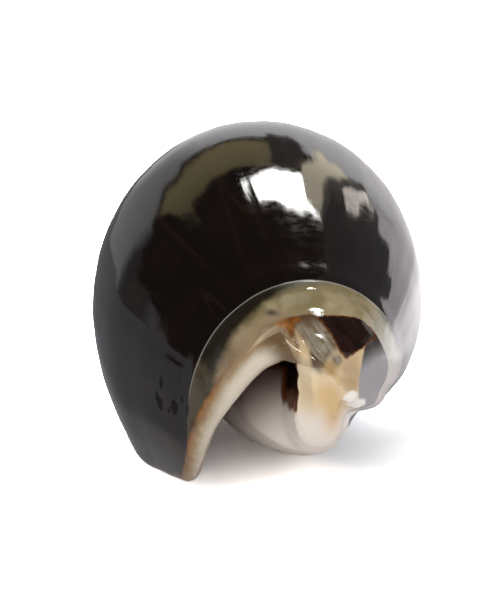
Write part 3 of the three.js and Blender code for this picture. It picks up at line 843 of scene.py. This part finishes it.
# Painted reflection: the grey crescent stands in for the pale room mirrored where the surface turns away;
# it is dimmer next to the chestnut patch.
grey_reflection_color = paint.layered(
    paint.mix(cloud, GREY_REFLECTION_DARK, GREY_REFLECTION_LIGHT),
    (paint.ramp(paint.field("chestnut"), -1.3, -0.2), GREY_REFLECTION_NEAR_PATCH),
)
smoke_color = paint.layered(
    paint.mix(paint.ramp(streaks, 0.35, 0.62), SMOKE_BROWN, SMOKE_GREY),
    (paint.ramp(past_border_field, -0.75, -0.1), SMOKE_EDGE),
)
tip = paint.layered(
    paint.mix(cloudy, TIP_CREAM, TIP_PALE),
    (paint.ramp(paint.field("enamel"), 0.6, 1.0), paint.mix(paint.field("low"), ENAMEL_CREAM, ENAMEL_PALE)),
    (paint.field("peach"), PEACH),
    (bordered("beige", 1.0, 0.1, 1.0), BEIGE),
    (bordered("crescent", 0.15, -0.06, 0.06), grey_reflection_color),
    (paint.product(paint.ramp(paint.field("smoke"), 0.1, 0.6), SMOKE_SHARE), smoke_color),
    (paint.product(bordered("mustard", 0.9, 0.1, 1.0), MUSTARD_SHARE), MUSTARD),
    (bordered("chestnut", PATCH_SHAKE, -0.12, 0.02), PATCH_FRINGE),
    (bordered("chestnut", PATCH_SHAKE, -0.02, 0.1),
     paint.mix(paint.ramp(streaks, 0.35, 0.65), PATCH_DARK, PATCH_LIGHT)),
)
color = paint.mix(paint.ramp(past_border_field, 0.05, -0.05), color, tip)
print("with the columella's end:", len(paint.tree.nodes), "nodes")

# %% [markdown]
# ### The lip's edge
# The newest growth is pale and has no coat yet. It is widest round the notch and thins out along the
# lip, with a rusty fringe where the coat begins. So its border is a distance from the free edge that
# changes with the station, and the same distance carries the fringe.

# %% The pale edge, the rust along the lip and at the fold's root
RUST_DARK, RUST_LIGHT, ROOT_COLOR = linear(84, 44, 18), linear(158, 98, 38), linear(104, 80, 52)
EDGE_PALE, EDGE_TAN, EDGE_BROWN = linear(218, 206, 186), linear(160, 136, 102), linear(108, 84, 56)
EDGE_STATIONS, EDGE_WIDTHS = (6.4, 2.8), (0.5, 1.0)
ALONG_LIP, ROUND_NOTCH = (-70.0, -34.0), (-68.0, -94.0)
FRINGE_SHARE, ROOT_SHARE, RUST_SHARE = 0.8, 0.85, 0.95

rust_color = paint.mix(cloudy, RUST_DARK, RUST_LIGHT)
edge_width = paint.ramp(station_field, *EDGE_STATIONS, *EDGE_WIDTHS)
past_edge = shaken(paint.minus(from_edge, edge_width), 0.5)
lip_fringe = paint.product(paint.ramp(growth_field, *ALONG_LIP), paint.ramp(past_edge, 0.38, 0.08))
edge_color = paint.layered(
    paint.mix(paint.ramp(past_edge, -0.85, -0.1), EDGE_PALE, EDGE_TAN),
    (paint.ramp(growth_field, *ROUND_NOTCH), EDGE_BROWN),
)
color = paint.layered(
    color,
    (paint.product(lip_fringe, FRINGE_SHARE), rust_color),
    (paint.product(paint.ramp(past_edge, 0.3, -0.35), paint.field("on_rim")), edge_color),
    (paint.product(paint.field("root"), ROOT_SHARE), ROOT_COLOR),
    (paint.product(bordered("rust", 0.7, 0.2, 0.8), RUST_SHARE), rust_color),
)
print("with the lip's edge:", len(paint.tree.nodes), "nodes")

# %% [markdown]
# ### Inside the aperture
# The inner face is smooth. Callus spreads from it over the belly, cream in front and duller towards
# the spire. Deeper into the aperture, and over the whole inner face, the colour turns a pale to darker
# mauve brown: partly the wall's own tint, partly painted shade of the recess. Behind the columella the
# throat turns dark brown with a chestnut border, and small white drops of callus lie on top of
# everything.

# %% Inside the aperture, and the callus
CALLUS_FRONT, CALLUS_BACK, DROP_COLOR = linear(242, 230, 217), linear(198, 180, 166), linear(246, 238, 230)
RECESS_SHADE_PALE, RECESS_SHADE_DARK = linear(138, 115, 105), linear(108, 88, 82)
THROAT_BORDER, THROAT_DARK = linear(98, 52, 22), linear(26, 19, 17)
CALLUS_NOISE_SCALE, CALLUS_SHAKE = 150.0, 4.0
CALLUS_DULL, PAST_TIP, PAST_RIM = (5.5, 9.0), (2.7, 3.7), (0.9, 1.6)
THROAT_STATIONS, THROAT_WIDTHS = (4.9, 3.8), (0.06, 0.3)

callus_color = paint.mix(paint.ramp(station_field, *CALLUS_DULL), CALLUS_FRONT, CALLUS_BACK)
# Painted shade of the recess, partly the wall's own mauve tint: the callus turns a dull mauve brown deeper
# in.
callus_and_recess_shade = paint.mix(paint.field("deep"), callus_color, paint.mix(broad_lines, RECESS_SHADE_PALE, RECESS_SHADE_DARK))
callus_shake = paint.product(paint.minus(paint.noise(place, CALLUS_NOISE_SCALE, 2.0), 0.5), CALLUS_SHAKE)
has_callus = paint.ramp(paint.plus(paint.field("past_callus"), callus_shake), -0.2, 0.3)
past_tip = paint.ramp(station_field, *PAST_TIP)
has_callus = paint.product(has_callus, past_tip, paint.ramp(from_edge, *PAST_RIM))
border_width = paint.ramp(station_field, *THROAT_STATIONS, *THROAT_WIDTHS)
in_throat = shaken(paint.field("throat"), 0.2)
color = paint.layered(
    color,
    (has_callus, callus_and_recess_shade),
    (paint.ramp(in_throat, -0.1, 0.04), THROAT_BORDER),
    (paint.ramp(paint.minus(in_throat, border_width), -0.02, 0.14), THROAT_DARK),
    (paint.ramp(paint.field("callus"), 0.2, 0.5), DROP_COLOR),
)
paint.tree.links.new(color, skin.inputs["Base Color"])
print("all colours:", len(paint.tree.nodes), "nodes")

# %% [markdown]
# ### Gloss and the finest relief
# The glaze is smooth but not a mirror: the grain makes it vary, callus is satin and scars are dull.
# Growth lines, grain and the ridges on the inner lip are lower than the mesh could carry, so they are
# a bump, in thousandths of a millimetre.

# %% Gloss, growth lines and fine grain
ENAMEL_IOR = 1.5
ROUGHNESS_LOW, ROUGHNESS_HIGH = 0.035, 0.1
SATIN_MORE, DROPS_MORE, SCARS_MORE = 0.24, 0.1, 0.65
GROWTH_LINE_MM, GRAIN_MM, RAGGED_MM, RIDGE_MM = 0.011, 0.0008, 0.003, 0.035
RIDGES_A_STATION = 19.0

old_enamel = paint.product(paint.ramp(growth_field, -285.0, -320.0), paint.minus(1.0, past_tip))
satin = paint.math("MAXIMUM", has_callus, old_enamel)
roughness = paint.ramp(grain, 0.3, 0.75, ROUGHNESS_LOW, ROUGHNESS_HIGH)
for share, more in [(satin, SATIN_MORE), (paint.field("callus"), DROPS_MORE), (scars, SCARS_MORE)]:
    roughness = paint.plus(roughness, paint.product(share, more))
paint.tree.links.new(roughness, skin.inputs["Roughness"])
skin.inputs["IOR"].default_value = ENAMEL_IOR
on_inner_lip = paint.product(
    paint.ramp(growth_field, -322.0, -334.0), paint.ramp(growth_field, -385.0, -365.0),
    paint.ramp(station_field, 7.0, 7.8), paint.ramp(station_field, 11.0, 9.5),
)
ridges = paint.math("SINE", paint.product(station_field, RIDGES_A_STATION))
ridges = paint.product(ridges, on_inner_lip, RIDGE_MM)
lines_and_grain = paint.plus(paint.product(growth_lines, GROWTH_LINE_MM), paint.product(grain, GRAIN_MM))
ragged_and_ridges = paint.plus(paint.product(ragged, RAGGED_MM), ridges)
height = paint.plus(lines_and_grain, ragged_and_ridges)
bump = paint.node("ShaderNodeBump", {"Height": height, "Distance": MM, "Strength": 1.0})
paint.tree.links.new(bump.outputs["Normal"], skin.inputs["Normal"])
mesh.materials.append(finish)

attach(shell, "root")
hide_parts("shell")
print("finish:", len(paint.tree.nodes), "nodes on", shell.name)

# %% [markdown]
# ## The table and the studio
# The shell lies on white paper in even light, and its glaze shows the room: a bright window behind it,
# a tan wall, a pale lower half and dark corners. Cameras and matt surfaces see a plain white
# surround, and only glossy rays see the room, which is a sum of soft shapes over the direction.
# Area lights would give the same shapes but would also throw shadows that the picture lacks.

# %% [markdown]
# ### The paper
# The picture shows the paper overexposed, so it is brighter to the camera than for the light that it
# throws on the shell. Right under the front end it is less bright, since a soft shadow lies there. In
# the glaze it is darker on the left than on the right, and brightest far to the right.

# %% White paper, which the picture shows overexposed
PAPER_SIZE, PAPER_ROUGHNESS, PAPER_WHITE = 2.0, 0.9, (0.9, 0.9, 0.9, 1.0)
MIRRORED_LEFT, MIRRORED_RIGHT = (0.2, 0.2, 0.21, 1.0), (1.0, 0.96, 0.98, 1.0)
MIRRORED_FAR = (1.8, 1.74, 1.77, 1.0)
LEFT_TO_RIGHT, FAR_RIGHT, FAR_BACK, FAR_END = (-0.017, 0.001), (0.006, 0.022), (0.0, 0.015), (0.06, 0.035)
SHADOW_PLACE, SHADOW_REACH = (0.0085, -0.007, 0.0), (0.003, 0.014)
SHOWN_IN_SHADOW, SHOWN_BRIGHT = (2.5, 2.5, 2.5, 1.0), (6.2, 6.35, 6.45, 1.0)

bpy.ops.mesh.primitive_plane_add(size=PAPER_SIZE)
table = bpy.context.object
table.name = "table"
paper = bpy.data.materials.new("paper")
paper.use_nodes = True
sheet = Graph(paper.node_tree)
paper_skin = paper.node_tree.nodes["Principled BSDF"]
rays = sheet.node("ShaderNodeLightPath", {}).outputs
on_table = sheet.node("ShaderNodeTexCoord", {}).outputs["Object"]
table_parts = sheet.node("ShaderNodeSeparateXYZ", {"Vector": on_table}).outputs
to_right, to_back = table_parts["X"], table_parts["Y"]
far_right = sheet.product(
    sheet.ramp(to_right, *FAR_RIGHT), sheet.ramp(to_back, *FAR_BACK), sheet.ramp(to_back, *FAR_END),
)
mirrored = sheet.layered(
    MIRRORED_LEFT, (sheet.ramp(to_right, *LEFT_TO_RIGHT), MIRRORED_RIGHT), (far_right, MIRRORED_FAR),
)
apart = sheet.node("ShaderNodeVectorMath", {0: on_table, 1: SHADOW_PLACE}, operation="DISTANCE")
shown = sheet.mix(sheet.ramp(apart.outputs["Value"], *SHADOW_REACH), SHOWN_IN_SHADOW, SHOWN_BRIGHT)
paper_color = sheet.layered(PAPER_WHITE, (rays["Is Glossy Ray"], mirrored), (rays["Is Camera Ray"], shown))
sheet.tree.links.new(paper_color, paper_skin.inputs["Base Color"])
paper_skin.inputs["Roughness"].default_value = PAPER_ROUGHNESS
paper_skin.inputs["Specular IOR Level"].default_value = 0.0
table.data.materials.append(paper)
print("paper:", len(sheet.tree.nodes), "nodes")

# %% [markdown]
# ### The room
# A direction has a side angle, which is 0 behind the shell and grows to the right, and a rise above
# the horizon. Windows, walls and borders are soft steps of these two angles, slightly shaken by
# noise. A photograph of a room would do it too, but it couldn't be changed piece by piece.

# %% The room, by direction
ROOM_NOISE_SCALE, ROOM_SHAKE = 7.0, 5.0

bpy.context.scene.view_settings.view_transform = "Standard"
world = bpy.data.worlds.new("studio")
bpy.context.scene.world = world
world.use_nodes = True
world.cycles.sampling_method = "NONE"
room = Graph(world.node_tree)
direction = room.node("ShaderNodeTexCoord", {}).outputs["Generated"]
parts = room.node("ShaderNodeSeparateXYZ", {"Vector": direction}).outputs
shake = room.product(room.minus(room.noise(direction, ROOM_NOISE_SCALE, 3.0), 0.5), ROOM_SHAKE)
side_angle = room.math("DEGREES", room.math("ARCTAN2", parts["X"], parts["Y"]))
side_angle = room.plus(side_angle, shake)
rise = room.plus(room.math("DEGREES", room.math("ARCSINE", parts["Z"])), shake)


def window(left, right, low, high, soft):
    """A soft-edged rectangle between two side angles and two heights, in degrees."""
    return room.product(
        room.ramp(side_angle, left - soft, left + soft), room.ramp(side_angle, right + soft, right - soft),
        room.ramp(rise, low - soft, low + soft), room.ramp(rise, high + soft, high - soft),
    )


def lamp(x, y, z, size):
    """A soft round light in a direction, with its radius in degrees."""
    towards = room.node("ShaderNodeVectorMath", {0: direction, 1: (x, y, z)}, operation="DOT_PRODUCT")
    outer, inner = (math.cos(math.radians(size * share)) for share in (1.2, 0.8))
    return room.ramp(towards.outputs["Value"], outer, inner)


def strength(red, green, blue):
    """Strength of a light, where 1 is white on the screen."""
    return red, green, blue, 1.0


print("room's angles:", len(room.tree.nodes), "nodes")

# %% Pale lower half, with its ragged upper border
DARK_CORNERS, RIGHT_WALL = strength(0.012, 0.011, 0.011), strength(0.1, 0.1, 0.1)
LOWER_MIDDLE, LOWER_RIGHT = strength(0.36, 0.36, 0.36), strength(0.92, 0.9, 0.91)
RIGHT_PALE = strength(0.95, 0.9, 0.93)
UPPER_BORDER, UPPER_START, UPPER_SLOPE, UPPER_LOWEST = 18.0, 33.0, 1.2, 16.0
LOWER_LEFT_END, RIGHT_START, RIGHT_SLANT = (-44.5, -42.5), (27.0, 30.0), 38.0

sloping = room.plus(UPPER_LOWEST, room.product(room.plus(side_angle, UPPER_START), UPPER_SLOPE))
upper = room.math("MINIMUM", UPPER_BORDER, sloping)
below = room.product(room.ramp(room.minus(rise, upper), 1.0, -1.0), room.ramp(side_angle, *LOWER_LEFT_END))
veil = room.ramp(rise, 0.0, -9.0, 0.07, 0.25)
veil = room.plus(veil, room.product(room.ramp(side_angle, -39.0, -42.0), 0.12))
on_right = room.ramp(side_angle, *RIGHT_START)
right_border = room.minus(rise, room.minus(RIGHT_SLANT, side_angle))
light = room.layered(
    DARK_CORNERS,
    (below, room.node("ShaderNodeCombineColor", {0: veil, 1: veil, 2: veil}).outputs[0]),
    (room.product(below, room.ramp(side_angle, -34.0, -26.0)), LOWER_MIDDLE),
    (room.product(below, room.ramp(side_angle, -14.0, 4.0)), LOWER_RIGHT),
    (on_right, RIGHT_WALL),
    (room.product(on_right, room.ramp(right_border, 1.0, -1.0)), RIGHT_PALE),
)
print("with the lower half:", len(room.tree.nodes), "nodes")

# %% Wall, window and streaks of light
WALL_PIECES = [
    (window(-27, 15, 20, 32, 1.5), strength(0.4, 0.335, 0.18)),
    (window(8, 15, 16, 31, 1.0), strength(0.07, 0.07, 0.065)),
    (window(24, 28, 8, 34, 1.0), strength(0.2, 0.19, 0.18)),
    (window(17, 24.5, 13, 35, 1.2), strength(1.7, 1.52, 1.15)),
]
WINDOW_LIGHT, STREAK_LIGHT = strength(15.0, 14.8, 14.3), strength(2.2, 2.0, 1.8)
LEFT_WALL, CEILING = strength(0.3, 0.29, 0.3), strength(0.9, 0.88, 0.88)
SILL_RISE, SILL_SLOPE, SILL_CORNER, SILL_STEP = 37.0, 0.35, (16.5, 19.5), 2.0
LINTEL_RISE, LINTEL_SLOPE, LINTEL_TOP = 49.3, 0.55, 41.0
WINDOW_LEFT, WINDOW_RIGHT, WINDOW_SOFT = (-4.0, -2.0), (31.0, 29.5), (-0.7, 0.7)

past_corner = room.ramp(side_angle, *SILL_CORNER)
sill = room.minus(SILL_RISE, room.product(side_angle, SILL_SLOPE))
level = room.minus(room.product(side_angle, SILL_SLOPE), SILL_STEP)
sill = room.plus(sill, room.product(past_corner, level))
lintel = room.math("MINIMUM", LINTEL_TOP, room.minus(LINTEL_RISE, room.product(side_angle, LINTEL_SLOPE)))
in_window = room.product(
    room.ramp(side_angle, *WINDOW_LEFT), room.ramp(side_angle, *WINDOW_RIGHT),
    room.ramp(room.minus(rise, sill), *WINDOW_SOFT), room.ramp(room.minus(lintel, rise), *WINDOW_SOFT),
)
light = room.layered(
    light,
    *WALL_PIECES,
    (in_window, WINDOW_LIGHT),
    (window(27.5, 30.5, 9, 21, 0.7), STREAK_LIGHT),
    (window(-115, -64, -60, 20, 4.0), LEFT_WALL),
    (room.ramp(rise, 76.0, 80.0), CEILING),
)
print("with the window:", len(room.tree.nodes), "nodes")

# %% The camera's side of the room, with its small windows and three lamps
FRONT_UPPER, FRONT_LOWER = strength(0.05, 0.05, 0.05), strength(0.62, 0.6, 0.6)
SMALL_WINDOW = strength(1.4, 1.35, 1.3)
LAMPS = [
    ((0.265, -0.459, 0.848), 5.5, 34.0), ((0.27, -0.6, 0.753), 4.0, 24.0), ((-0.03, -0.9, 0.43), 3.0, 14.0),
]

in_front = room.ramp(parts["Y"], 0.05, -0.15)
light = room.layered(
    light,
    (room.product(in_front, room.ramp(rise, 70.0, 62.0)), FRONT_UPPER),
    (room.product(in_front, room.ramp(rise, 15.0, 12.0)), FRONT_LOWER),
    (window(-165, -138, 26, 40, 1.5), SMALL_WINDOW),
    (window(62, 92, 12, 26, 1.5), SMALL_WINDOW),
    *[(lamp(*towards, size), strength(bright, bright, bright)) for towards, size, bright in LAMPS],
)
print("with", len(LAMPS), "lamps:", len(room.tree.nodes), "nodes")

# %% Glossy rays see the room, all others the white surround
FROM_BEHIND, FROM_FRONT = strength(0.55, 0.55, 0.56), strength(1.15, 1.15, 1.16)
SHOWN_WHITE = strength(1.02, 1.02, 1.02)

rays = room.node("ShaderNodeLightPath", {}).outputs
seen = room.layered(
    room.mix(room.ramp(parts["Y"], 0.5, -0.5), FROM_BEHIND, FROM_FRONT),
    (rays["Is Camera Ray"], SHOWN_WHITE),
    (rays["Is Glossy Ray"], light),
)
background = world.node_tree.nodes["Background"]
room.tree.links.new(seen, background.inputs["Color"])
background.inputs["Strength"].default_value = 1.0
print("studio:", len(room.tree.nodes), "nodes")

# %% [markdown]
# ## The camera
# The picture was taken with a long lens from a little above the front end. The axis of the coil is
# turned a few degrees from the camera, and the frame is shifted to the picture's own middle by turning
# the camera, as a photographer would.

# %% Camera
AZIMUTH, ELEVATION, DISTANCE, FOCAL_PIXELS = -6.58, 14.41, 177.0, 3307.5
AIM_PIXEL = (321.1, 385.8)
FRAME = (480, 605)
SENSOR_WIDTH, CLIP_START, CLIP_END = 36.0, 0.01, 5.0
camera_data = bpy.data.cameras.new("camera")
camera = bpy.data.objects.new("camera", camera_data)
bpy.context.scene.collection.objects.link(camera)
bpy.context.scene.camera = camera
camera_data.sensor_width = SENSOR_WIDTH
camera_data.lens = FOCAL_PIXELS / max(FRAME) * SENSOR_WIDTH
a, e = math.radians(AZIMUTH), math.radians(ELEVATION)
back = Vector((math.sin(a) * math.cos(e), -math.cos(a) * math.cos(e), math.sin(e)))
look = (-back).to_track_quat("-Z", "Y").to_matrix()
pan = math.atan((AIM_PIXEL[0] - FRAME[0] / 2) / FOCAL_PIXELS)
tilt = math.atan((AIM_PIXEL[1] - FRAME[1] / 2) / FOCAL_PIXELS)
look = look @ Matrix.Rotation(pan, 3, "Y") @ Matrix.Rotation(tilt, 3, "X")
lay = Matrix.Rotation(turn, 3, "Y")
place = lay @ (back * DISTANCE * MM) - Vector(centre * MM)
camera.matrix_world = Matrix.Translation(place) @ (lay @ look).to_4x4()
camera_data.clip_start, camera_data.clip_end = CLIP_START, CLIP_END
print("camera, mm:", [round(value / MM, 1) for value in place], "lens, mm:", round(camera_data.lens, 1))
